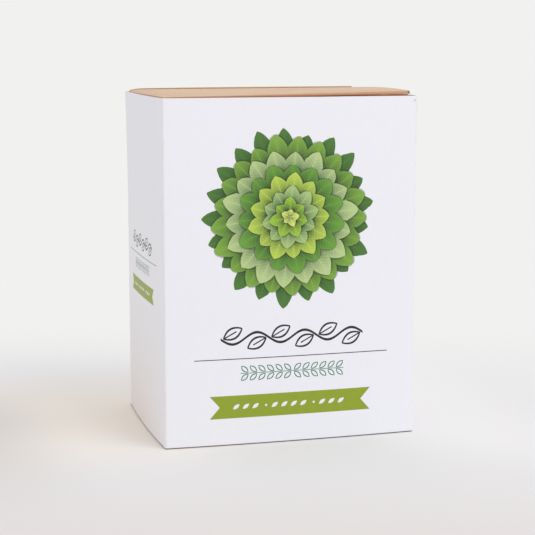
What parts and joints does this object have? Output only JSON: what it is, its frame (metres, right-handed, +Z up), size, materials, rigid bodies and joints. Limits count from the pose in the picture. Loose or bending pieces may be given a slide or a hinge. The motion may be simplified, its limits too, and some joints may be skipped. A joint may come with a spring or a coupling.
{
  "type": "indoor herb planter kit",
  "caption": "Boxed herb growing kit: white board sleeve over a brown folding carton with a hinged lid, holding nested fibre pots, compost discs, seed packets and plant markers.",
  "frame": {"origin": "the middle of the rectangle that the box stands on", "axes": "+Z up, +X to the right of the printed front, which faces -Y"},
  "size_m": [0.123, 0.0914, 0.1628],
  "materials": {
    "white_board": "coated white board, satin",
    "kraft_board": "uncoated brown kraft board",
    "pot_fibre": "rough pressed fibre",
    "compost": "rough pressed compost",
    "packet_paper": "matt paper",
    "marker_wood": "plain sanded wood",
    "leaflet_paper": "matt paper"
  },
  "bodies": {
    "carton": {"carton_walls": "kraft_board", "bottom_panel_back": "kraft_board", "bottom_panel_left": "kraft_board", "bottom_panel_right": "kraft_board", "bottom_panel_front": "kraft_board", "growing_leaflet": "leaflet_paper", "pot_1": "pot_fibre", "compost_disc_1": "compost", "seed_packet_1": "packet_paper", "plant_marker_1": "marker_wood", "pot_2": "pot_fibre", "compost_disc_2": "compost", "seed_packet_2": "packet_paper", "plant_marker_2": "marker_wood", "pot_3": "pot_fibre", "compost_disc_3": "compost", "seed_packet_3": "packet_paper", "plant_marker_3": "marker_wood", "pot_4": "pot_fibre", "compost_disc_4": "compost", "seed_packet_4": "packet_paper", "plant_marker_4": "marker_wood", "pot_5": "pot_fibre", "compost_disc_5": "compost", "seed_packet_5": "packet_paper", "plant_marker_5": "marker_wood"},
    "sleeve": {"sleeve": "white_board"},
    "lid": {"lid": "kraft_board"},
    "tuck_flap": {"tuck_flap": "kraft_board"},
    "dust_flap_left": {"dust_flap_left": "kraft_board"},
    "dust_flap_right": {"dust_flap_right": "kraft_board"}
  },
  "joints": [
    {"name": "sleeve_slide", "type": "slide", "parent": "carton", "child": "sleeve", "axis": [0, 0, 1], "range_m": [0, 0.165]},
    {"name": "lid_crease", "type": "hinge", "parent": "carton", "child": "lid", "pos_m": [0, 0.04395, 0.16125], "axis": [-1, 0, 0], "range_deg": [0, 180]},
    {"name": "tuck_crease", "type": "hinge", "parent": "lid", "child": "tuck_flap", "pos_m": [-0.05875, -0.04253, 0.15823], "axis": [-0.9998, 0, -0.0194], "range_deg": [0, 45]},
    {"name": "dust_left_crease", "type": "hinge", "parent": "carton", "child": "dust_flap_left", "pos_m": [-0.05917, 0, 0.15887], "axis": [0, -1, 0], "range_deg": [0, 72]},
    {"name": "dust_right_crease", "type": "hinge", "parent": "carton", "child": "dust_flap_right", "pos_m": [0.05917, 0, 0.15887], "axis": [0, 1, 0], "range_deg": [0, 72]}
  ],
  "couplings": [
    {"joint": "tuck_crease", "follows": "lid_crease", "ratio": 0.25},
    {"joint": "dust_left_crease", "follows": "lid_crease", "ratio": 0.4},
    {"joint": "dust_right_crease", "follows": "lid_crease", "ratio": 0.4}
  ]
}
